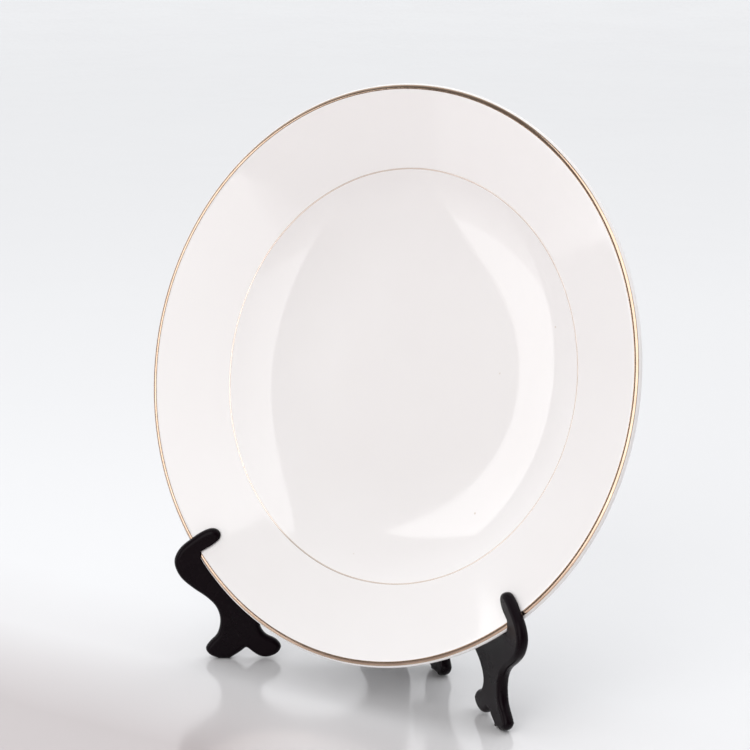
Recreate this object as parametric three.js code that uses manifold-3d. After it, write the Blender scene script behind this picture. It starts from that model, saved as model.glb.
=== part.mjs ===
// China dinner plate with gold bands, standing on a folding two-wing plate stand.
// Millimetres, +Z up, the plate's face looks towards -Y. The origin is on the table, at the
// middle of the object's box.
import * as THREE from 'three';
import { mergeVertices } from 'three/addons/utils/BufferGeometryUtils.js';
import Module from 'manifold-3d';

const wasm = await Module();
wasm.setup();

// --- driving dimensions: the plate -----------------------------------------------------------
const PLATE_RADIUS = 128.3;          // outside of the lip
const LIP_REACH = 2.4;               // the rounded edge of the rim is half an ellipse:
const LIP_HEIGHT = 1.6;              // its reach outwards, and half its thickness
const RIM_TOP = 1.83;                // where the rim's slope, drawn on, passes the lip's middle
const LIP_BACK = -70;                // ends of the lip, as angles round it from outwards
const LIP_FRONT = 118;
const BAND_THICKNESS = 0.35;         // gold band in a groove on the lip
const BAND_BACK = 50;                // the band's edges, as angles round the lip
const BAND_FRONT = 100;
const GROOVE_MARGIN = 9;             // the groove is this much wider on each side
const GAP = 0.3;                     // air between pieces that touch on the real object
const VERGE_RADIUS = 92;             // where the sloping rim meets the well
const VERGE_DEPTH = 10.8;            // below the middle of the lip
const WELL_DROP = 10;                // verge to flat floor
const FLOOR_RADIUS = 40;             // where the floor becomes flat
const WALL = 3.6;                    // porcelain thickness in the well
const FOOT_RADIUS = 66;              // middle of the foot ring
const FOOT_WIDTH = 4;
const FOOT_HEIGHT = 2.6;             // below the underside of the floor
const VERGE_LINE_WIDTH = 1;
const VERGE_LINE_THICKNESS = 0.3;

// --- driving dimensions: how the plate stands ------------------------------------------------
const PLATE_TILT = THREE.MathUtils.degToRad(14.8);
const PLATE_CENTRE = new THREE.Vector3(0, -4.75, 142.1);
const HINGE_BEHIND_PLATE = 31;       // hinge axis behind the middle of the lip
const SEAT_GAP = 0.6;                // plate to the stand, at its lip and behind it
const HOOK_GAP = 0.9;                // plate to the hooks in front of its rim

// --- driving dimensions: the stand -----------------------------------------------------------
const WING_ANGLE = THREE.MathUtils.degToRad(55.2);   // each wing, from straight ahead
const HINGE_Y = PLATE_CENTRE.y + HINGE_BEHIND_PLATE;
const BOARD = 5.3;                   // thickness of a wing
const BOARD_OFFSET = 0.25;           // from the hinge axis to the board's inner face
const EDGE_ROUND = 1.3;              // rounded edges of the mouldings
const HINGE_EDGE = 4.4;              // the board starts this far in front of the axis
const KNUCKLE_RADIUS = 3.5;
const KNUCKLE_LENGTH = 5;
const KNUCKLE_GAP = 0.4;
const LOWER_HINGE_Z = 20.5;          // bottom of each hinge's first knuckle
const UPPER_HINGE_Z = 101;
const PIN_RADIUS = 1.2;
const PIN_HEAD_RADIUS = 2.3;
const PIN_HEAD = 1;
const BORE_RADIUS = PIN_RADIUS + GAP;
const UPRIGHT_TOP = 122;             // where the upright's front edge turns into its round top
const UPRIGHT_FOOT = 74;             // where that edge leaves the arm
const SIDES = 72;                    // facets round the plate

const WING_SCALLOP = [[7.2, 92], [8.4, 70], [7.2, 48]];

// --- helpers ---------------------------------------------------------------------------------
function mesh(name, geometry, material) {
  const made = new THREE.Mesh(geometry, material);
  made.name = name;
  return made;
}

function toSolid(geometry) {
  const bare = geometry.clone();
  bare.deleteAttribute('normal');
  bare.deleteAttribute('uv');
  const merged = mergeVertices(bare, 1e-4);
  const positions = Float32Array.from(merged.attributes.position.array);
  const triangles = Uint32Array.from(merged.index.array);
  return new wasm.Manifold(new wasm.Mesh({ numProp: 3, vertProperties: positions, triVerts: triangles }));
}

function toGeometry(solid) {
  const data = solid.getMesh();
  const geometry = new THREE.BufferGeometry();
  geometry.setAttribute('position', new THREE.BufferAttribute(data.vertProperties, 3));
  geometry.setIndex(new THREE.BufferAttribute(data.triVerts, 1));
  geometry.computeVertexNormals();
  return geometry;
}

function lathe(profile) {
  return new THREE.LatheGeometry(profile.map(([r, y]) => new THREE.Vector2(r, y)), SIDES);
}

// --- the plate: every height is measured from the middle of the lip, face up -------------------
const LIP_MIDDLE = PLATE_RADIUS - LIP_REACH;

// points round the lip's ellipse, drawn larger by the given growth; angles in degrees, 0 is outwards
function lipArc(growth, from, to, steps) {
  const points = [];
  for (let i = 0; i <= steps; i += 1) {
    const angle = THREE.MathUtils.degToRad(from + ((to - from) * i) / steps);
    const r = LIP_MIDDLE + (LIP_REACH + growth) * Math.cos(angle);
    points.push([r, (LIP_HEIGHT + growth) * Math.sin(angle)]);
  }
  return points;
}

// height of the plate's upper surface
function faceHeight(r) {
  if (r >= VERGE_RADIUS) {
    const along = (LIP_MIDDLE - r) / (LIP_MIDDLE - VERGE_RADIUS);
    return RIM_TOP - along * (RIM_TOP + VERGE_DEPTH);
  }
  const inward = Math.min(1, (VERGE_RADIUS - r) / (VERGE_RADIUS - FLOOR_RADIUS));
  return -VERGE_DEPTH - WELL_DROP * (1 - (1 - inward) ** 3);
}

// height of the underside, without the foot ring
function undersideHeight(r) {
  const thin = 2 * LIP_HEIGHT;
  const along = THREE.MathUtils.clamp((LIP_MIDDLE - r) / (LIP_MIDDLE - VERGE_RADIUS), 0, 1);
  return faceHeight(r) - thin - (WALL - thin) * along;
}

function between(from, to, steps, height) {
  const points = [];
  for (let i = 0; i <= steps; i += 1) {
    const r = from + ((to - from) * i) / steps;
    points.push([r, height(r)]);
  }
  return points;
}

function plateBody(material) {
  const footInner = FOOT_RADIUS - FOOT_WIDTH / 2;
  const footOuter = FOOT_RADIUS + FOOT_WIDTH / 2;
  const footBottom = undersideHeight(0) - FOOT_HEIGHT;
  const grooveBack = BAND_BACK - GROOVE_MARGIN;
  const grooveFront = BAND_FRONT + GROOVE_MARGIN;
  const profile = [
    [0, undersideHeight(0)],
    ...between(FLOOR_RADIUS, footInner - 1, 2, undersideHeight),
    [footInner, footBottom + 0.6],
    [footInner + 0.6, footBottom],
    [footOuter - 0.6, footBottom],
    [footOuter, footBottom + 0.6],
    ...between(footOuter + 1, VERGE_RADIUS, 3, undersideHeight),
    ...between(VERGE_RADIUS + 8, LIP_MIDDLE - 4, 1, undersideHeight),
    ...lipArc(0, LIP_BACK, grooveBack, 6),
    ...lipArc(-BAND_THICKNESS - GAP, grooveBack, grooveFront, 4),
    ...lipArc(0, grooveFront, LIP_FRONT, 1),
    ...between(LIP_MIDDLE - 1.7, VERGE_RADIUS, 1, faceHeight),
    ...between(VERGE_RADIUS - 3, FLOOR_RADIUS, 7, faceHeight),
    [0, faceHeight(0)],
  ];
  return mesh('plate_body', lathe(profile), material);
}

function goldRimBand(material) {
  const outside = lipArc(0, BAND_BACK, BAND_FRONT, 4);
  const inside = lipArc(-BAND_THICKNESS, BAND_FRONT, BAND_BACK, 4);
  return mesh('gold_rim_band', lathe([...outside, ...inside, outside[0]]), material);
}

function goldVergeLine(material) {
  const inner = VERGE_RADIUS - VERGE_LINE_WIDTH / 2;
  const radii = [inner, VERGE_RADIUS, inner + VERGE_LINE_WIDTH];
  const bottom = radii.map((r) => [r, faceHeight(r) + GAP]);
  const top = bottom.map(([r, y]) => [r, y + VERGE_LINE_THICKNESS]).reverse();
  return mesh('gold_verge_line', lathe([...bottom, ...top, bottom[0]]), material);
}

// the space that the rim needs in the hooks
function rimSpace() {
  const start = VERGE_RADIUS + 8;
  const lip = lipArc(SEAT_GAP, -75, 75, 7);
  const under = (r) => undersideHeight(r) - SEAT_GAP;
  const over = (r) => faceHeight(r) + HOOK_GAP;
  const hookSide = [LIP_MIDDLE - 1, over(LIP_MIDDLE - 1)];
  const profile = [[start, under(start)], ...lip, hookSide, [start, over(start)]];
  return lathe([...profile, profile[0]]);
}

function placePlate(object) {
  object.rotation.x = Math.PI - PLATE_TILT;
  object.position.copy(PLATE_CENTRE);
  object.updateMatrixWorld(true);
  return object;
}

// --- the wings: x runs forwards from the hinge axis, z up, the board beside the axis -----------
// forward distance of the upright's front edge, which is parallel to the leaning plate
function uprightEdge(height) {
  const footDepth = -(undersideHeight(0) - FOOT_HEIGHT) + SEAT_GAP;
  const rise = (height - PLATE_CENTRE.z) * Math.sin(PLATE_TILT);
  const behind = (footDepth + rise) / Math.cos(PLATE_TILT);
  const hingeBehind = HINGE_Y - PLATE_CENTRE.y + BOARD_OFFSET * Math.sin(WING_ANGLE);
  return (hingeBehind - behind) / Math.cos(WING_ANGLE);
}

function spline(shape, points) {
  shape.splineThru(points.map(([x, y]) => new THREE.Vector2(x, y)));
}

// outline of a wing: rear foot, arch, two-lobed front foot, swan neck, hook, arm and upright
function wingOutline() {
  const shape = new THREE.Shape();
  shape.moveTo(13.5, 0);
  shape.lineTo(22, 0);
  spline(shape, [[25.8, 1.6], [27.8, 5], [25.4, 9.5], [24.4, 14.5], [28, 21.5], [38.5, 27.8], [51, 29.4]]);
  spline(shape, [[62, 27.6], [70.6, 22.6], [74, 17], [71.6, 12], [66.8, 9.4], [64.2, 6]]);
  spline(shape, [[66, 2.5], [70.4, 0.7], [74.2, 1.1], [77.4, 3.1], [80.3, 5.6]]);
  spline(shape, [[83.6, 2.9], [88.2, 0]]);
  shape.lineTo(93.2, 0);
  spline(shape, [[97.3, 1.6], [99.3, 4.8], [97, 8.4], [93.7, 12], [92.3, 18.6], [94, 24.8], [98.4, 29.6]]);
  spline(shape, [[104.6, 34], [110.4, 39.4], [113, 46.3], [110.6, 52.6], [104.4, 58], [99.3, 61.3]]);
  spline(shape, [[95, 62.6], [91.6, 61], [91.2, 57.8], [94.4, 53.2], [95.4, 49.6], [93.4, 46.2], [87, 44.6]]);
  spline(shape, [[72, 46.4], [57, 50.8], [46.5, 58.5], [uprightEdge(UPRIGHT_FOOT), UPRIGHT_FOOT]]);
  const edge = uprightEdge(UPRIGHT_TOP);
  shape.lineTo(edge, UPRIGHT_TOP);
  spline(shape, [[edge - 1.6, 127.4], [edge - 6, 130], [HINGE_EDGE + 1.2, 128.4], [HINGE_EDGE, 124.5]]);
  shape.lineTo(HINGE_EDGE, UPPER_HINGE_Z - 2);
  spline(shape, [...WING_SCALLOP, [HINGE_EDGE, LOWER_HINGE_Z + 18]]);
  shape.lineTo(HINGE_EDGE, 10);
  spline(shape, [[5.6, 5.6], [8.6, 2.1], [13.5, 0]]);
  return shape;
}

function knuckleBottom(hingeZ, index) {
  return hingeZ + index * (KNUCKLE_LENGTH + KNUCKLE_GAP);
}

function uprightCylinder(radius, length, bottom, sides) {
  const geometry = new THREE.CylinderGeometry(radius, radius, length, sides);
  geometry.rotateX(Math.PI / 2);
  geometry.translate(0, 0, bottom + length / 2);
  return geometry;
}

// a moulded knuckle and the web that joins it to its board; side is +1 or -1
function knuckle(side, bottom) {
  const barrel = toSolid(uprightCylinder(KNUCKLE_RADIUS, KNUCKLE_LENGTH, bottom, 28));
  const reach = HINGE_EDGE + EDGE_ROUND + 0.6;
  const width = BOARD - 2 * EDGE_ROUND;
  const web = new THREE.BoxGeometry(reach, width, KNUCKLE_LENGTH);
  web.translate(reach / 2, side * (BOARD_OFFSET + 0.4 + width / 2), bottom + KNUCKLE_LENGTH / 2);
  return barrel.add(toSolid(web));
}

function wing(name, side, material) {
  const geometry = new THREE.ExtrudeGeometry(wingOutline(), {
    depth: BOARD - 2 * EDGE_ROUND,
    curveSegments: 2,
    bevelThickness: EDGE_ROUND,
    bevelSize: EDGE_ROUND,
    bevelOffset: -EDGE_ROUND,
    bevelSegments: 2,
  });
  geometry.translate(0, 0, EDGE_ROUND);
  geometry.rotateX(Math.PI / 2);
  geometry.translate(0, side > 0 ? BOARD_OFFSET + BOARD : -BOARD_OFFSET, 0);
  const piece = mesh(name, geometry, material);
  piece.position.set(0, HINGE_Y, 0);
  piece.rotation.z = side * WING_ANGLE - Math.PI / 2;
  piece.updateMatrixWorld(true);

  const seat = placePlate(new THREE.Object3D());
  const rim = rimSpace();
  rim.applyMatrix4(piece.matrixWorld.clone().invert().multiply(seat.matrixWorld));

  let solid = toSolid(geometry).subtract(toSolid(rim));
  // the right wing has the two outer knuckles below and the middle one above, the left the others
  const places = [[LOWER_HINGE_Z, side > 0 ? [0, 2] : [1]], [UPPER_HINGE_Z, side > 0 ? [1] : [0, 2]]];
  for (const [hingeZ, indices] of places) {
    for (const index of indices) {
      solid = solid.add(knuckle(side, knuckleBottom(hingeZ, index)));
    }
    solid = solid.subtract(toSolid(uprightCylinder(BORE_RADIUS, 24, hingeZ - 4, 20)));
  }
  const largest = solid.decompose().sort((a, b) => b.volume() - a.volume())[0];
  piece.geometry = toGeometry(largest);
  return piece;
}

function hingePin(name, hingeZ, material) {
  const top = knuckleBottom(hingeZ, 2) + KNUCKLE_LENGTH + GAP;
  const bottom = hingeZ - 1;
  const length = top - bottom;
  const shaft = toSolid(uprightCylinder(PIN_RADIUS, length + PIN_HEAD / 2, bottom, 20));
  const head = toSolid(uprightCylinder(PIN_HEAD_RADIUS, PIN_HEAD, top, 20));
  const piece = mesh(name, toGeometry(shaft.add(head)), material);
  piece.position.set(0, HINGE_Y, 0);
  return piece;
}

// --- the assembly ------------------------------------------------------------------------------
const porcelain = new THREE.MeshStandardMaterial({ color: 0xf6f2ef, roughness: 0.08, metalness: 0 });
const gold = new THREE.MeshStandardMaterial({ color: 0xe0b060, roughness: 0.16, metalness: 1 });
const blackPlastic = new THREE.MeshStandardMaterial({ color: 0x17120f, roughness: 0.36, metalness: 0 });
const steel = new THREE.MeshStandardMaterial({ color: 0xb8b8b8, roughness: 0.3, metalness: 1 });

const object = new THREE.Group();

const plate = placePlate(new THREE.Group());
plate.add(plateBody(porcelain));
plate.add(goldRimBand(gold));
plate.add(goldVergeLine(gold));
object.add(plate);

object.add(wing('left_stand_wing', -1, blackPlastic));
object.add(wing('right_stand_wing', 1, blackPlastic));
object.add(hingePin('lower_hinge_pin', LOWER_HINGE_Z, steel));
object.add(hingePin('upper_hinge_pin', UPPER_HINGE_Z, steel));

export default object;
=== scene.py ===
"""China dinner plate with gold bands on a folding plate stand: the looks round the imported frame.

Metres, +Z up. The frame gives the places; the outlines repeat the CAD part's own dimensions.
"""
import math

import bmesh
import bpy
import numpy as np
from mathutils import Matrix, Vector


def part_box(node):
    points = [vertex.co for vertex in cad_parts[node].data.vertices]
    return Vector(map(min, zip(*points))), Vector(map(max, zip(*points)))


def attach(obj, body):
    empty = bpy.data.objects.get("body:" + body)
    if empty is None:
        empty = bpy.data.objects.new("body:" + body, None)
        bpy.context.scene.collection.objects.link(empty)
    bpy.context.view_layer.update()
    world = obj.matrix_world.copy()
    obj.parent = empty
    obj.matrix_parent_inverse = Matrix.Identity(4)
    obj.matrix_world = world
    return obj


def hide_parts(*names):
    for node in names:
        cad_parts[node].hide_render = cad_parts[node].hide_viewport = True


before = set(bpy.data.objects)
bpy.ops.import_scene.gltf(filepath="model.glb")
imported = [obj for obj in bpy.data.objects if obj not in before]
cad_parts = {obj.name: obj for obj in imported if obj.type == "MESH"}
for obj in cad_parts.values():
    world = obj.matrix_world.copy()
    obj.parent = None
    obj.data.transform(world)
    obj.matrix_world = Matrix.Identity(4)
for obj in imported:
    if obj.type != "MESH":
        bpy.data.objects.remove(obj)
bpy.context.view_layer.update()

MM = 0.001

# --- the plate, in the part's own dimensions ---------------------------------------------------
PLATE_RADIUS = 128.2 * MM
LIP_REACH = 2.4 * MM                 # the lip is half an ellipse: its reach outwards,
LIP_HEIGHT = 1.55 * MM               # and half its thickness
LIP_MIDDLE = PLATE_RADIUS - LIP_REACH
RIM_TOP = 1.79 * MM                  # where the rim's slope, drawn on, passes the lip's middle
VERGE_RADIUS = 92 * MM
VERGE_DEPTH = 10.8 * MM
VERGE_BLEND = 2.2 * MM
WELL_DROP = 10 * MM
FLOOR_RADIUS = 40 * MM
WALL = 3.6 * MM
FOOT_RADIUS = 66 * MM
FOOT_WIDTH = 4 * MM
FOOT_HEIGHT = 2.6 * MM
FOOT_ROUND = 0.9 * MM
PLATE_TILT = math.radians(14.8)
HINGE_BEHIND_PLATE = 31 * MM
GOLD_LIFT = 0.035 * MM
LIP_BACK = -70                       # ends of the lip, as degrees round it from outwards
LIP_FRONT = 116
BAND_BACK = 50                       # edges of the gold band, as degrees round the lip
BAND_FRONT = 100
BAND_DRIFT = 8 / MM                  # degrees that the band's edges drift per metre of wobble
GOLD_LINE_WIDTH = 0.6 * MM
LINE_DRIFT = 1.2                     # the verge line's edges drift this many times the wobble
SEGMENTS = 288

# --- the stand ---------------------------------------------------------------------------------
WING_ANGLE = math.radians(55.2)
BOARD = 5.3 * MM
BOARD_OFFSET = 0.25 * MM
EDGE_ROUND = 2.3 * MM
PARTING_LINE = 0.06 * MM
HINGE_EDGE = 4.4 * MM
KNUCKLE_RADIUS = 3.5 * MM
KNUCKLE_LENGTH = 5 * MM
KNUCKLE_GAP = 0.4 * MM
LOWER_HINGE_Z = 20.5 * MM
UPPER_HINGE_Z = 101 * MM
PIN_RADIUS = 1.2 * MM
BORE_RADIUS = 1.5 * MM
PIN_HEAD_RADIUS = 2.3 * MM
PIN_HEAD = 1 * MM
PIN_GAP = 0.3 * MM                   # between the top knuckle and the pin's head
PIN_END = 1 * MM                     # the pin's length below the bottom knuckle
BORE_MARGIN = 3 * MM                 # the drill runs on this far past the knuckles
UPRIGHT_TOP = 122 * MM
UPRIGHT_FOOT = 74 * MM
SEAT_GAP = 0.6 * MM
HOOK_GAP = 0.9 * MM
HOOK_REACH = 8 * MM                  # the rim's space in the hooks starts this far past the verge

pin_low, pin_high = (Vector(corner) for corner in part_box("lower_hinge_pin"))
HINGE_AXIS = (pin_low + pin_high) / 2
HINGE_AXIS.z = 0
plate_low, plate_high = (Vector(corner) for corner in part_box("plate_body"))
PLATE_CENTRE = (plate_low + plate_high) / 2
PLATE_CENTRE.y = HINGE_AXIS.y - HINGE_BEHIND_PLATE

# --- stage, lights and camera: lengths in metres, angles in degrees ------------------------------
FLOOR_SHADE_FRONT = -0.1             # painted shade on the table: it turns from grey to white between these places on Y
FLOOR_SHADE_BACK = 0.05
TABLE_RADIUS = 9.0
TABLE_RINGS = 6
TABLE_DROP = 0.02 * MM               # the table falls this far from its middle to its first ring
BACKDROP_START = -0.25               # the backdrop brightens between these values of
BACKDROP_END = 0.2                   # Y plus the shares below of Z and X
BACKDROP_SHARES = (("Z", 0.35), ("X", -0.25))

# name, azimuth, elevation, distance, width, height, watts, mirrored by the glaze
LIGHTS = (
    ("left window", -50, 6, 1.6, 0.66, 1.0, 4.6, True),
    ("front window", 8, 20, 1.6, 1.2, 2.2, 17, True),
    ("overhead", 20, 62, 2.0, 1.6, 1.6, 5.5, False),
    ("back", 165, 60, 1.6, 1.4, 1.4, 4, False),
)

CAMERA_AZIMUTH = 35.3
CAMERA_ELEVATION = 13.3
CAMERA_DISTANCE = 1.0545
CAMERA_LENS = 115.2
CAMERA_SENSOR = 36
CAMERA_AIM = Vector((-3.5, 0, -1.1)) * MM    # from the middle of the plate


# --- mesh helpers ------------------------------------------------------------------------------
def add_mesh(name, points, faces, matrix=None):
    """A smooth-shaded object from points and faces, with its place in its mesh."""
    mesh = bpy.data.meshes.new(name)
    mesh.from_pydata([tuple(p) for p in points], [], faces)
    if matrix is not None:
        mesh.transform(matrix)
    work = bmesh.new()
    work.from_mesh(mesh)
    bmesh.ops.recalc_face_normals(work, faces=work.faces)
    work.to_mesh(mesh)
    work.free()
    for face in mesh.polygons:
        face.use_smooth = True
    thing = bpy.data.objects.new(name, mesh)
    bpy.context.scene.collection.objects.link(thing)
    return thing


def lathe(name, profile, matrix=None, segments=SEGMENTS, wobble=None):
    """Turn a profile of (radius, height) round local Z. Points on the axis become poles.

    wobble(angle, index) may add a little to a point's radius and height.
    """
    points, rings = [], []
    for index, (radius, height) in enumerate(profile):
        if radius < 1e-7:
            rings.append([len(points)])
            points.append((0, 0, height))
            continue
        ring = []
        for step in range(segments):
            angle = 2 * math.pi * step / segments
            dr, dz = wobble(angle, index) if wobble else (0, 0)
            ring.append(len(points))
            away = radius + dr
            points.append((away * math.cos(angle), away * math.sin(angle), height + dz))
        rings.append(ring)
    faces = []
    closed = profile[0][0] > 1e-7
    pairs = list(zip(rings, rings[1:])) + ([(rings[-1], rings[0])] if closed else [])
    for a, b in pairs:
        for step in range(segments):
            after = (step + 1) % segments
            corners = [a[step % len(a)], a[after % len(a)], b[after % len(b)], b[step % len(b)]]
            faces.append(tuple(dict.fromkeys(corners)))
    return add_mesh(name, points, faces, matrix)


def arc(r, z, radius, start, end, steps):
    """Profile points round (r, z), angles in degrees, 0 pointing outwards."""
    angles = np.radians(np.linspace(start, end, steps + 1))
    return [(r + radius * math.cos(a), z + radius * math.sin(a)) for a in angles]


def combine(thing, tool, operation):
    """Cut or join one object by another and remove the tool."""
    step = thing.modifiers.new(operation, "BOOLEAN")
    step.operation = operation
    step.object = tool
    step.solver = "EXACT"
    evaluated = thing.evaluated_get(bpy.context.evaluated_depsgraph_get())
    mesh = bpy.data.meshes.new_from_object(evaluated)
    thing.modifiers.clear()
    old, thing.data = thing.data, mesh
    mesh.name = thing.name
    bpy.data.meshes.remove(old)
    bpy.data.objects.remove(tool)


def crisp_edges(thing, degrees=38):
    """Smooth shading that keeps real corners sharp."""
    work = bmesh.new()
    work.from_mesh(thing.data)
    bmesh.ops.dissolve_degenerate(work, dist=1e-6, edges=work.edges)
    for face in work.faces:
        face.smooth = True
    for edge in work.edges:
        edge.smooth = not edge.is_manifold or edge.calc_face_angle(0) < math.radians(degrees)
    work.to_mesh(thing.data)
    work.free()
    weighted = thing.modifiers.new("even shading", "WEIGHTED_NORMAL")
    weighted.keep_sharp = True
    weighted.weight = 90


# --- materials ---------------------------------------------------------------------------------
def new_material(name):
    material = bpy.data.materials.new(name)
    material.use_nodes = True
    nodes, links = material.node_tree.nodes, material.node_tree.links
    shader = nodes["Principled BSDF"]
    place = nodes.new("ShaderNodeTexCoord").outputs["Object"]
    return material, nodes, links, shader, place


def noise(nodes, links, place, scale, detail=3.0, roughness=0.5):
    texture = nodes.new("ShaderNodeTexNoise")
    texture.inputs["Scale"].default_value = scale
    texture.inputs["Detail"].default_value = detail
    texture.inputs["Roughness"].default_value = roughness
    links.new(place, texture.inputs["Vector"])
    return texture.outputs["Fac"]


def ramp(nodes, links, value, stops):
    """A colour ramp from (position, colour) stops."""
    made = nodes.new("ShaderNodeValToRGB")
    for index, (position, colour) in enumerate(stops):
        elements = made.color_ramp.elements
        element = elements[index] if index < 2 else elements.new(position)
        element.position = position
        element.color = (*colour, 1)
    links.new(value, made.inputs["Fac"])
    return made.outputs["Color"]


def spread(nodes, links, value, low, high, from_low=0.35, from_high=0.65):
    """Map a noise value to a range of plain numbers."""
    made = nodes.new("ShaderNodeMapRange")
    made.inputs["From Min"].default_value = from_low
    made.inputs["From Max"].default_value = from_high
    made.inputs["To Min"].default_value = low
    made.inputs["To Max"].default_value = high
    links.new(value, made.inputs["Value"])
    return made.outputs["Result"]


def mix(nodes, links, factor, colour, other):
    """Blend a linked colour towards a plain one."""
    made = nodes.new("ShaderNodeMix")
    made.data_type = "RGBA"
    links.new(factor, made.inputs["Factor"])
    links.new(colour, made.inputs["A"])
    made.inputs["B"].default_value = (*other, 1)
    return made.outputs["Result"]


def multiply_add(nodes, links, value, share, added):
    """value times share, plus another linked value."""
    made = nodes.new("ShaderNodeMath")
    made.operation = "MULTIPLY_ADD"
    links.new(value, made.inputs[0])
    made.inputs[1].default_value = share
    links.new(added, made.inputs[2])
    return made.outputs["Value"]


def bump(nodes, links, value, height, strength=1.0, before=None):
    made = nodes.new("ShaderNodeBump")
    made.inputs["Distance"].default_value = height
    made.inputs["Strength"].default_value = strength
    links.new(value, made.inputs["Height"])
    if before is not None:
        links.new(before, made.inputs["Normal"])
    return made.outputs["Normal"]


def porcelain_material():
    """Warm white china under a clear glaze, with the glaze's faint waviness and pinprick specks."""
    material, nodes, links, shader, place = new_material("glazed porcelain")
    body = ramp(nodes, links, noise(nodes, links, place, 14, 4), [
        (0.3, (0.892, 0.87, 0.862)),
        (0.7, (0.912, 0.894, 0.887)),
    ])
    specks = nodes.new("ShaderNodeTexVoronoi")
    specks.inputs["Scale"].default_value = 46
    links.new(place, specks.inputs["Vector"])
    speck = spread(nodes, links, specks.outputs["Distance"], 1, 0, 0.012, 0.03)
    links.new(mix(nodes, links, speck, body, (0.7, 0.63, 0.56)), shader.inputs["Base Color"])
    smear = noise(nodes, links, place, 30, 5, 0.6)
    links.new(spread(nodes, links, smear, 0.04, 0.09), shader.inputs["Roughness"])
    shader.inputs["IOR"].default_value = 1.52
    ripple = bump(nodes, links, noise(nodes, links, place, 55, 1), 0.00004, 0.35)
    links.new(ripple, shader.inputs["Normal"])
    return material


def biscuit_material():
    """The foot ring's bare, unglazed china."""
    material, nodes, links, shader, place = new_material("unglazed foot")
    grain = noise(nodes, links, place, 700, 6, 0.7)
    colour = ramp(nodes, links, grain, [(0.3, (0.72, 0.67, 0.61)), (0.7, (0.84, 0.8, 0.75))])
    links.new(colour, shader.inputs["Base Color"])
    links.new(spread(nodes, links, grain, 0.7, 0.9), shader.inputs["Roughness"])
    links.new(bump(nodes, links, grain, 0.00008, 0.6), shader.inputs["Normal"])
    return material


def gold_material(name, low, high, metallic):
    """Fired gold: brushed on by hand, so its colour and polish drift a little."""
    material, nodes, links, shader, place = new_material(name)
    drift = noise(nodes, links, place, 90, 4, 0.6)
    links.new(ramp(nodes, links, drift, [(0.3, low), (0.7, high)]), shader.inputs["Base Color"])
    shader.inputs["Metallic"].default_value = metallic
    polish = noise(nodes, links, place, 260, 4, 0.7)
    links.new(spread(nodes, links, polish, 0.08, 0.16), shader.inputs["Roughness"])
    strokes = bump(nodes, links, noise(nodes, links, place, 1400, 2), 0.00001, 0.5)
    links.new(strokes, shader.inputs["Normal"])
    return material


def plastic_material():
    """Moulded black plastic: satin, with a fine grain, flow marks and a painted highlight that
    lightens its rounded edges.
    """
    material, nodes, links, shader, place = new_material("black moulded plastic")
    flow = noise(nodes, links, place, 38, 4, 0.6)
    colour = ramp(nodes, links, flow, [
        (0.3, (0.003, 0.0008, 0.0022)),
        (0.7, (0.005, 0.0016, 0.0034)),
    ])
    # painted highlight: the colour turns a little paler and browner along the rounded edges
    edges = nodes.new("ShaderNodeNewGeometry").outputs["Pointiness"]
    painted_edge_highlight = spread(nodes, links, edges, 0, 0.5, 0.52, 0.6)
    paler = mix(nodes, links, painted_edge_highlight, colour, (0.016, 0.012, 0.014))
    links.new(paler, shader.inputs["Base Color"])
    links.new(spread(nodes, links, flow, 0.22, 0.32), shader.inputs["Roughness"])
    shader.inputs["Specular IOR Level"].default_value = 0.09
    grain = bump(nodes, links, noise(nodes, links, place, 1600, 3, 0.6), 0.00002, 0.5)
    waves = bump(nodes, links, noise(nodes, links, place, 120, 2), 0.00006, 0.4, grain)
    links.new(waves, shader.inputs["Normal"])
    return material


def steel_material():
    """Drawn steel wire with turning marks along Z."""
    material, nodes, links, shader, place = new_material("drawn steel")
    stretch = nodes.new("ShaderNodeMapping")
    stretch.inputs["Scale"].default_value = (1, 1, 0.05)
    links.new(place, stretch.inputs["Vector"])
    lines = noise(nodes, links, stretch.outputs["Vector"], 2500, 4, 0.7)
    links.new(ramp(nodes, links, lines, [(0.3, (0.42, 0.42, 0.43)), (0.7, (0.62, 0.62, 0.62))]),
              shader.inputs["Base Color"])
    shader.inputs["Metallic"].default_value = 1
    links.new(spread(nodes, links, lines, 0.22, 0.42), shader.inputs["Roughness"])
    links.new(bump(nodes, links, lines, 0.00002, 0.5), shader.inputs["Normal"])
    return material


def floor_material():
    """Pale table top that mirrors softly, with painted shade in front of the plate that makes it a
    little greyer and warmer there.
    """
    material, nodes, links, shader, place = new_material("pale table")
    parts = nodes.new("ShaderNodeSeparateXYZ")
    links.new(place, parts.inputs["Vector"])
    cloud = noise(nodes, links, place, 6, 2)
    depth = multiply_add(nodes, links, cloud, 0.04, parts.outputs["Y"])
    depth = spread(nodes, links, depth, 0, 1, FLOOR_SHADE_FRONT, FLOOR_SHADE_BACK)
    # painted shade: the table's colour is darker and pinkish grey in front of the plate, where the
    # plate shades it and is mirrored in it
    colour = ramp(nodes, links, depth, [
        (0, (0.545, 0.5, 0.5)),
        (0.5, (0.78, 0.77, 0.775)),
        (1, (0.83, 0.832, 0.84)),
    ])
    links.new(colour, shader.inputs["Base Color"])
    polish = noise(nodes, links, place, 6, 3)
    links.new(spread(nodes, links, polish, 0.1, 0.15), shader.inputs["Roughness"])
    return material


# --- the plate: heights are measured from the middle of the lip, along the face's normal --------
def face_height(r):
    """Height of the plate's upper surface."""
    rim = RIM_TOP - (LIP_MIDDLE - r) / (LIP_MIDDLE - VERGE_RADIUS) * (RIM_TOP + VERGE_DEPTH)
    if r >= VERGE_RADIUS:
        return rim
    inward = min(1, (VERGE_RADIUS - r) / (VERGE_RADIUS - FLOOR_RADIUS))
    return -VERGE_DEPTH - WELL_DROP * (1 - (1 - inward) ** 3)


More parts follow.
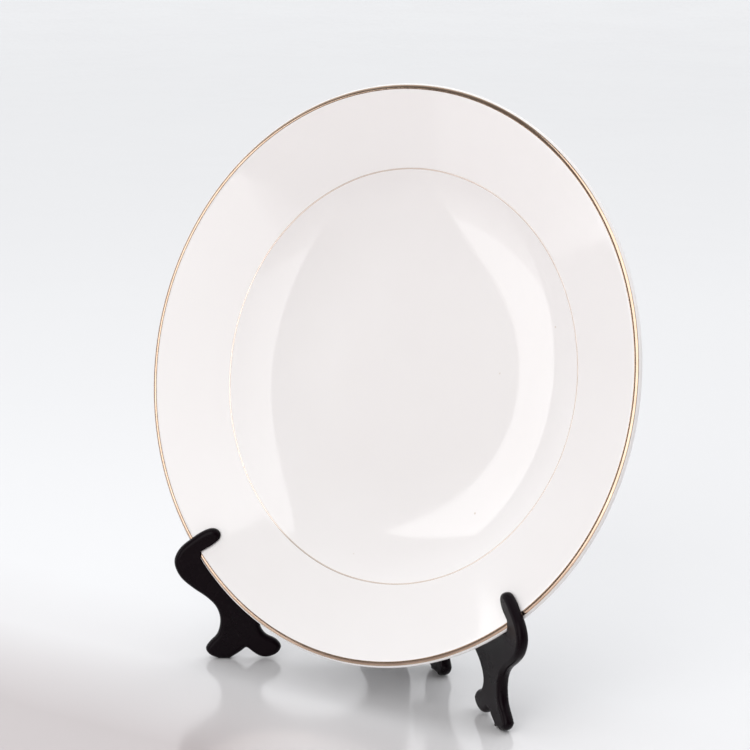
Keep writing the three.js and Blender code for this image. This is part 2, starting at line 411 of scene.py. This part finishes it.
def soft_height(height, r):
    """The same surface with the verge eased over a few millimetres."""
    if abs(r - VERGE_RADIUS) > 2 * VERGE_BLEND:
        return height(r)
    offsets = np.linspace(-VERGE_BLEND, VERGE_BLEND, 9)
    weights = 1 + np.cos(np.pi * offsets / VERGE_BLEND)
    return float(sum(w * height(r + o) for w, o in zip(weights, offsets)) / weights.sum())


def underside_height(r):
    """Height of the underside, without the foot ring."""
    thin = 2 * LIP_HEIGHT
    along = min(1, max(0, (LIP_MIDDLE - r) / (LIP_MIDDLE - VERGE_RADIUS)))
    return face_height(r) - thin - (WALL - thin) * along


def lip_point(degrees, growth=0):
    """A profile point round the lip, 0 degrees pointing outwards, on an ellipse grown a little."""
    angle = math.radians(degrees)
    radius = LIP_MIDDLE + (LIP_REACH + growth) * math.cos(angle)
    return radius, (LIP_HEIGHT + growth) * math.sin(angle)


def lip_arc(start, end, steps, growth=0):
    return [lip_point(degrees, growth) for degrees in np.linspace(start, end, steps + 1)]


def face_point(radius, lift=0):
    """A profile point on the plate's upper surface, lifted a little."""
    return radius, soft_height(face_height, radius) + lift


def between(start, end, steps, height):
    radii = np.linspace(start, end, steps + 1)
    return [(float(r), soft_height(height, float(r))) for r in radii]


def plate_matrix():
    lean = PLATE_TILT
    right = Vector((1, 0, 0))
    up = Vector((0, math.sin(lean), math.cos(lean)))
    facing = Vector((0, -math.cos(lean), math.sin(lean)))
    turn = Matrix((right, up, facing)).transposed().to_4x4()
    return Matrix.Translation(PLATE_CENTRE) @ turn


def plate_porcelain():
    inner, outer = FOOT_RADIUS - FOOT_WIDTH / 2, FOOT_RADIUS + FOOT_WIDTH / 2
    bottom = underside_height(0) - FOOT_HEIGHT
    foot_inside = arc(inner + FOOT_ROUND, bottom + FOOT_ROUND, FOOT_ROUND, 180, 270, 5)
    foot_outside = arc(outer - FOOT_ROUND, bottom + FOOT_ROUND, FOOT_ROUND, 270, 360, 5)
    fillet = 1.2 * MM
    corner_in = arc(inner - fillet, underside_height(inner) - fillet, fillet, 90, 0, 5)
    corner_out = arc(outer + fillet, underside_height(outer + fillet) - fillet, fillet, 180, 90, 5)
    profile = [
        (0, underside_height(0)),
        *between(12 * MM, inner - 2 * fillet, 12, underside_height),
        *corner_in,
        *foot_inside,
        *foot_outside,
        *corner_out,
        *between(outer + 2.6 * fillet, VERGE_RADIUS + 4 * MM, 16, underside_height),
        *between(VERGE_RADIUS + 7 * MM, LIP_MIDDLE - 3 * MM, 6, underside_height),
        *lip_arc(LIP_BACK, LIP_FRONT, 26),
        *between(LIP_MIDDLE - 1.3 * MM, LIP_MIDDLE - 2.8 * MM, 3, face_height),
        *between(LIP_MIDDLE - 4 * MM, VERGE_RADIUS + 5 * MM, 11, face_height),
        *between(VERGE_RADIUS + 4 * MM, VERGE_RADIUS - 4 * MM, 16, face_height),
        *between(VERGE_RADIUS - 5 * MM, FLOOR_RADIUS - 2 * MM, 34, face_height),
        *between(FLOOR_RADIUS - 6 * MM, 8 * MM, 5, face_height),
        (0, face_height(0)),
    ]
    plate = lathe("plate_porcelain", profile, plate_matrix())
    plate.data.materials.append(porcelain_material())
    plate.data.materials.append(biscuit_material())
    to_plate = plate_matrix().inverted()
    for face in plate.data.polygons:
        middle = to_plate @ face.center
        radius = math.hypot(middle.x, middle.y)
        on_foot = abs(radius - FOOT_RADIUS) < FOOT_WIDTH / 2 - 0.4 * MM
        face.material_index = 1 if on_foot and middle.z < bottom + 0.3 * MM else 0
    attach(plate, "plate")
    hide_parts("plate_body")


def hand_wobble(angle):
    """The slow drift of a line banded by hand on a turning wheel."""
    waves = ((3, 0.7, 0.05), (7, 2.1, 0.035), (17, 0, 0.02))
    return sum(size * MM * math.sin(count * angle + phase) for count, phase, size in waves)


def gold_ring(name, node, point, start, end, drift, material):
    """A fired line of gold: low, a little crowned, with edges that drift by hand.

    point(mark, lift) gives the profile from the mark start to the mark end.
    """
    middle, half = (start + end) / 2, (end - start) / 2
    marks = np.linspace(start, end, 17)
    under = [(mark, -2 * GOLD_LIFT) for mark in marks]
    top = [(mark, GOLD_LIFT * (1.2 - ((mark - middle) / half) ** 4)) for mark in marks[::-1]]
    course = under + top

    def wobble(angle, index):
        mark, lift = course[index]
        before = point(mark, lift)
        after = point(mark + drift * hand_wobble(angle), lift)
        return after[0] - before[0], after[1] - before[1]

    profile = [point(mark, lift) for mark, lift in course]
    ring = lathe(name, profile, plate_matrix(), wobble=wobble)
    ring.data.materials.append(material)
    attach(ring, "plate")
    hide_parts(node)


# --- the wings: x runs forwards from the hinge axis, y across the board, z up ------------------
def upright_edge(height):
    """Forward distance of the upright's front edge, parallel to the leaning plate."""
    foot_depth = -(underside_height(0) - FOOT_HEIGHT) + SEAT_GAP
    behind = (foot_depth + (height - PLATE_CENTRE.z) * math.sin(PLATE_TILT)) / math.cos(PLATE_TILT)
    hinge_behind = HINGE_AXIS.y - PLATE_CENTRE.y + BOARD_OFFSET * math.sin(WING_ANGLE)
    return (hinge_behind - behind) / math.cos(WING_ANGLE)


def outline_runs():
    """The wing's outline as runs of spline points; a run of two points is a straight line."""
    edge = upright_edge(UPRIGHT_TOP) / MM
    arm_top = upright_edge(UPRIGHT_FOOT) / MM
    hinge, top = HINGE_EDGE / MM, UPRIGHT_TOP / MM
    return [
        [(13.5, 0), (22, 0)],
        [(22, 0), (25.8, 1.6), (27.8, 5), (25.4, 9.5), (24.4, 14.5), (28, 21.5), (38.5, 27.8),
         (51, 29.4), (62, 27.6), (70.6, 22.6), (74, 17), (71.6, 12), (66.8, 9.4), (64.2, 6),
         (66, 2.5), (70.4, 0.7), (74.2, 1.1), (77.4, 3.1), (80.3, 5.6)],
        [(80.3, 5.6), (83.6, 2.9), (88.2, 0)],
        [(88.2, 0), (93.2, 0)],
        [(93.2, 0), (97.3, 1.6), (99.3, 4.8), (97, 8.4), (93.7, 12), (92.3, 18.6), (94, 24.8),
         (98.4, 29.6), (104.6, 34), (110.4, 39.4), (113, 46.3), (110.6, 52.6), (104.4, 58),
         (99.3, 61.3), (95, 62.6), (91.6, 61), (91.2, 57.8), (94.4, 53.2), (95.4, 49.6),
         (93.4, 46.2), (87, 44.6), (72, 46.4), (57, 50.8), (46.5, 58.5), (arm_top, UPRIGHT_FOOT / MM)],
        [(arm_top, UPRIGHT_FOOT / MM), (edge, top)],
        [(edge, top), (edge - 1.6, 127.4), (edge - 6, 130), (hinge + 1.2, 128.4), (hinge, 124.5)],
        [(hinge, 124.5), (hinge, UPPER_HINGE_Z / MM - 2)],
        [(hinge, UPPER_HINGE_Z / MM - 2), (7.2, 92), (8.4, 70), (7.2, 48),
         (hinge, LOWER_HINGE_Z / MM + 18)],
        [(hinge, LOWER_HINGE_Z / MM + 18), (hinge, 10)],
        [(hinge, 10), (5.6, 5.6), (8.6, 2.1), (13.5, 0)],
    ]


def spline_points(run, spacing):
    """Even points along a Catmull-Rom curve through a run, without its last point."""
    knots = np.array([run[0], *run, run[-1]], float)
    made = []
    for a, b, c, d in zip(knots, knots[1:], knots[2:], knots[3:]):
        steps = max(2, int(np.linalg.norm(c - b) / spacing))
        for t in np.arange(steps) / steps:
            made.append(0.5 * (2 * b + (c - a) * t + (2 * a - 5 * b + 4 * c - d) * t ** 2
                               + (3 * b - a - 3 * c + d) * t ** 3))
    return made


def wing_outline(spacing=0.7):
    """The closed outline in metres, counterclockwise, with its joins eased."""
    points = np.array([p for run in outline_runs() for p in spline_points(run, spacing)])
    for _ in range(3):
        eased = (np.roll(points, 1, 0) + 2 * points + np.roll(points, -1, 0)) / 4
        eased[:, 1] = np.where(points[:, 1] < 0.02, 0, eased[:, 1])
        points = eased
    return points * MM


def inward_normals(points):
    along = np.roll(points, -1, 0) - np.roll(points, 1, 0)
    along /= np.linalg.norm(along, axis=1)[:, None]
    return np.stack([-along[:, 1], along[:, 0]], 1)


def room_inside(points, normals):
    """Radius of the largest circle inside the outline that touches it at each point."""
    gap = points[None] - points[:, None]
    ahead = (gap * normals[:, None]).sum(2)
    square = (gap ** 2).sum(2)
    radius = np.where(ahead > 1e-9, square / np.maximum(2 * ahead, 1e-12), 1)
    smallest = radius.min(1)
    for _ in range(6):
        average = (np.roll(smallest, 1) + smallest + np.roll(smallest, -1)) / 3
        smallest = np.minimum(smallest, average)
    return smallest


def rounded_board(name, side):
    """The wing's board: the outline with a faint parting line and fully rounded edges."""
    outline = wing_outline()
    normals = inward_normals(outline)
    room = room_inside(outline, normals)
    half = BOARD / 2
    levels = [(0, 0), (PARTING_LINE, 0.16 * MM), (PARTING_LINE, half - EDGE_ROUND)]
    for angle in np.radians(np.linspace(0, 90, 9))[1:]:
        levels.append((PARTING_LINE + EDGE_ROUND * (1 - math.cos(angle)),
                       half - EDGE_ROUND * (1 - math.sin(angle))))
    levels = [(offset, -height) for offset, height in levels[:0:-1]] + levels
    middle = side * (BOARD_OFFSET + half)
    points, count = [], len(outline)
    for offset, height in levels:
        inset = np.minimum(offset, 0.92 * room * offset / (EDGE_ROUND + PARTING_LINE))
        ring = outline + normals * inset[:, None]
        points += [(x, middle + height, z) for x, z in ring]
    faces = [tuple(range(count)), tuple(range((len(levels) - 1) * count, len(levels) * count))]
    for level in range(len(levels) - 1):
        for step in range(count):
            after = (step + 1) % count
            faces.append((level * count + step, level * count + after,
                          (level + 1) * count + after, (level + 1) * count + step))
    return add_mesh(name, points, faces)


def knuckle_bottom(hinge_z, index):
    return hinge_z + index * (KNUCKLE_LENGTH + KNUCKLE_GAP)


def knuckle(side, bottom):
    """A moulded barrel with softened ends, and the web that joins it to its board."""
    soft = 0.5 * MM
    profile = [
        (0, bottom),
        *arc(KNUCKLE_RADIUS - soft, bottom + soft, soft, -90, 0, 4),
        *arc(KNUCKLE_RADIUS - soft, bottom + KNUCKLE_LENGTH - soft, soft, 0, 90, 4),
        (0, bottom + KNUCKLE_LENGTH),
    ]
    barrel = lathe("barrel", profile, segments=48)
    reach = HINGE_EDGE + EDGE_ROUND + 0.6 * MM
    near = side * (BOARD_OFFSET + 0.9 * MM)
    far = side * (BOARD_OFFSET + BOARD - 1.3 * MM)
    low, high = bottom + 0.3 * MM, bottom + KNUCKLE_LENGTH - 0.3 * MM
    corners = [(x, y, z) for x in (0, reach) for y in (near, far) for z in (low, high)]
    sides = [(0, 1, 3, 2), (4, 6, 7, 5), (0, 4, 5, 1), (2, 3, 7, 6), (0, 2, 6, 4), (1, 5, 7, 3)]
    web = add_mesh("web", corners, sides)
    combine(barrel, web, "UNION")
    return barrel


def bore(hinge_z):
    top = knuckle_bottom(hinge_z, 2) + KNUCKLE_LENGTH + BORE_MARGIN
    bottom = hinge_z - BORE_MARGIN
    profile = [(0, bottom), (BORE_RADIUS, bottom), (BORE_RADIUS, top), (0, top)]
    return lathe("bore", profile, segments=32)


def rim_space():
    """The space that the leaning rim needs in a hook."""
    start = VERGE_RADIUS + HOOK_REACH
    hook_side = LIP_MIDDLE - 1 * MM
    profile = [(start, underside_height(start) - SEAT_GAP)]
    profile += lip_arc(-75, 75, 12, SEAT_GAP)
    profile += [(r, face_height(r) + HOOK_GAP) for r in (hook_side, start)]
    return lathe("rim_space", profile, plate_matrix(), segments=192)


def stand_wing(name, node, body, side, material):
    wing = rounded_board(name, side)
    lower, upper = ((0, 2), (1,)) if side > 0 else ((1,), (0, 2))
    places = [(LOWER_HINGE_Z, lower), (UPPER_HINGE_Z, upper)]
    for hinge_z, indices in places:
        for index in indices:
            combine(wing, knuckle(side, knuckle_bottom(hinge_z, index)), "UNION")
        combine(wing, bore(hinge_z), "DIFFERENCE")
    turn = Matrix.Rotation(side * WING_ANGLE - math.pi / 2, 4, "Z")
    wing.data.transform(Matrix.Translation(HINGE_AXIS) @ turn)
    combine(wing, rim_space(), "DIFFERENCE")
    keep_largest(wing)
    crisp_edges(wing)
    wing.data.materials.clear()
    wing.data.materials.append(material)
    for face in wing.data.polygons:
        face.material_index = 0
    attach(wing, body)
    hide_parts(node)


def keep_largest(thing):
    """Drop any sliver that a cut leaves loose."""
    work = bmesh.new()
    work.from_mesh(thing.data)
    work.verts.ensure_lookup_table()
    seen, groups = set(), []
    for start in work.verts:
        if start in seen:
            continue
        group, stack = [], [start]
        seen.add(start)
        while stack:
            vert = stack.pop()
            group.append(vert)
            for edge in vert.link_edges:
                other = edge.other_vert(vert)
                if other not in seen:
                    seen.add(other)
                    stack.append(other)
        groups.append(group)
    groups.sort(key=len, reverse=True)
    loose = [vert for group in groups[1:] for vert in group]
    bmesh.ops.delete(work, geom=loose, context="VERTS")
    work.to_mesh(thing.data)
    work.free()


def hinge_pin(name, node, hinge_z, material):
    """A wire pin with a flat-domed head and a chamfered end."""
    top = knuckle_bottom(hinge_z, 2) + KNUCKLE_LENGTH + PIN_GAP
    bottom = hinge_z - PIN_END
    soft = 0.35 * MM
    crown = [(PIN_HEAD_RADIUS * math.cos(a), top + PIN_HEAD - 0.45 * MM * (1 - math.sin(a)))
             for a in np.radians(np.linspace(20, 80, 6))]
    profile = [
        (0, bottom),
        (PIN_RADIUS - soft, bottom),
        (PIN_RADIUS, bottom + soft),
        (PIN_RADIUS, top - 0.02 * MM),
        (PIN_HEAD_RADIUS - 0.15 * MM, top),
        (PIN_HEAD_RADIUS, top + 0.15 * MM),
        (PIN_HEAD_RADIUS, top + 0.5 * MM),
        *crown,
        (0, top + PIN_HEAD),
    ]
    pin = lathe(name, profile, Matrix.Translation(HINGE_AXIS), segments=48)
    crisp_edges(pin, 50)
    pin.data.materials.append(material)
    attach(pin, "hinge_pins")
    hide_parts(node)


# --- stage, lights and camera ------------------------------------------------------------------
def build_floor():
    radii = [TABLE_RADIUS * (k / TABLE_RINGS) ** 2 for k in range(1, TABLE_RINGS + 1)]
    floor = add_disc("floor", radii)
    floor.data.materials.append(floor_material())


def add_disc(name, radii, segments=64):
    """A disc of rings round the origin, all but its middle a hair below it."""
    points, faces = [(0, 0, 0)], []
    for radius in radii:
        for step in range(segments):
            angle = 2 * math.pi * step / segments
            points.append((radius * math.cos(angle), radius * math.sin(angle), -TABLE_DROP))
    for step in range(segments):
        faces.append((0, 1 + step, 1 + (step + 1) % segments))
    for ring in range(len(radii) - 1):
        base, out = 1 + ring * segments, 1 + (ring + 1) * segments
        for step in range(segments):
            after = (step + 1) % segments
            faces.append((base + step, out + step, out + after, base + after))
    return add_mesh(name, points, faces)


def direction(azimuth, elevation):
    """Unit vector: azimuth 0 is towards -Y, positive to the right, as the camera counts it."""
    a, e = math.radians(azimuth), math.radians(elevation)
    return Vector((math.sin(a) * math.cos(e), -math.cos(a) * math.cos(e), math.sin(e)))


def soft_light(name, azimuth, elevation, distance, width, height, power, mirrored):
    data = bpy.data.lights.new(name, "AREA")
    data.shape = "RECTANGLE"
    data.size, data.size_y = width, height
    data.energy = power
    light = bpy.data.objects.new(name, data)
    aim = direction(azimuth, elevation)
    light.location = PLATE_CENTRE + aim * distance
    light.rotation_euler = aim.to_track_quat("Z", "Y").to_euler()
    light.visible_glossy = mirrored
    bpy.context.scene.collection.objects.link(light)


def build_world():
    """A white backdrop behind, above and left of the plate, and a dim room on the other side."""
    world = bpy.data.worlds.new("studio")
    world.use_nodes = True
    nodes, links = world.node_tree.nodes, world.node_tree.links
    background = nodes["Background"]
    place = nodes.new("ShaderNodeTexCoord").outputs["Generated"]
    parts = nodes.new("ShaderNodeSeparateXYZ")
    links.new(place, parts.inputs["Vector"])
    value = parts.outputs["Y"]
    for axis, share in BACKDROP_SHARES:
        value = multiply_add(nodes, links, parts.outputs[axis], share, value)
    depth = spread(nodes, links, value, 0, 1, BACKDROP_START, BACKDROP_END)
    colour = ramp(nodes, links, depth, [(0, (0.2, 0.19, 0.19)), (1, (1.0, 1.01, 1.03))])
    links.new(colour, background.inputs["Color"])
    background.inputs["Strength"].default_value = 1
    bpy.context.scene.world = world


def build_lights():
    for light in LIGHTS:
        soft_light(*light)


def build_camera():
    """The photograph's view: from the right, a little above."""
    toward = direction(CAMERA_AZIMUTH, CAMERA_ELEVATION)
    data = bpy.data.cameras.new("camera")
    data.lens = CAMERA_LENS
    data.sensor_width = CAMERA_SENSOR
    data.clip_end = 50
    camera = bpy.data.objects.new("camera", data)
    camera.location = PLATE_CENTRE + CAMERA_AIM + toward * CAMERA_DISTANCE
    camera.rotation_euler = toward.to_track_quat("Z", "Y").to_euler()
    bpy.context.scene.collection.objects.link(camera)
    bpy.context.scene.camera = camera


# --- everything --------------------------------------------------------------------------------
bpy.context.scene.view_settings.view_transform = "Standard"
build_camera()
build_world()
build_lights()
build_floor()

plate_porcelain()
gold = gold_material("fired gold", (0.52, 0.38, 0.28), (0.62, 0.47, 0.36), 1)
gold_ring("gold_band", "gold_rim_band", lip_point, BAND_BACK, BAND_FRONT, BAND_DRIFT, gold)
worn_gold = gold_material("worn gold", (0.78, 0.66, 0.57), (0.84, 0.74, 0.66), 0.45)
line_inner = VERGE_RADIUS - GOLD_LINE_WIDTH / 2
line_outer = VERGE_RADIUS + GOLD_LINE_WIDTH / 2
gold_ring("gold_line", "gold_verge_line", face_point, line_inner, line_outer, LINE_DRIFT, worn_gold)

plastic = plastic_material()
stand_wing("left_wing_moulding", "left_stand_wing", "left_wing", -1, plastic)
stand_wing("right_wing_moulding", "right_stand_wing", "right_wing", 1, plastic)

steel = steel_material()
hinge_pin("lower_pin", "lower_hinge_pin", LOWER_HINGE_Z, steel)
hinge_pin("upper_pin", "upper_hinge_pin", UPPER_HINGE_Z, steel)
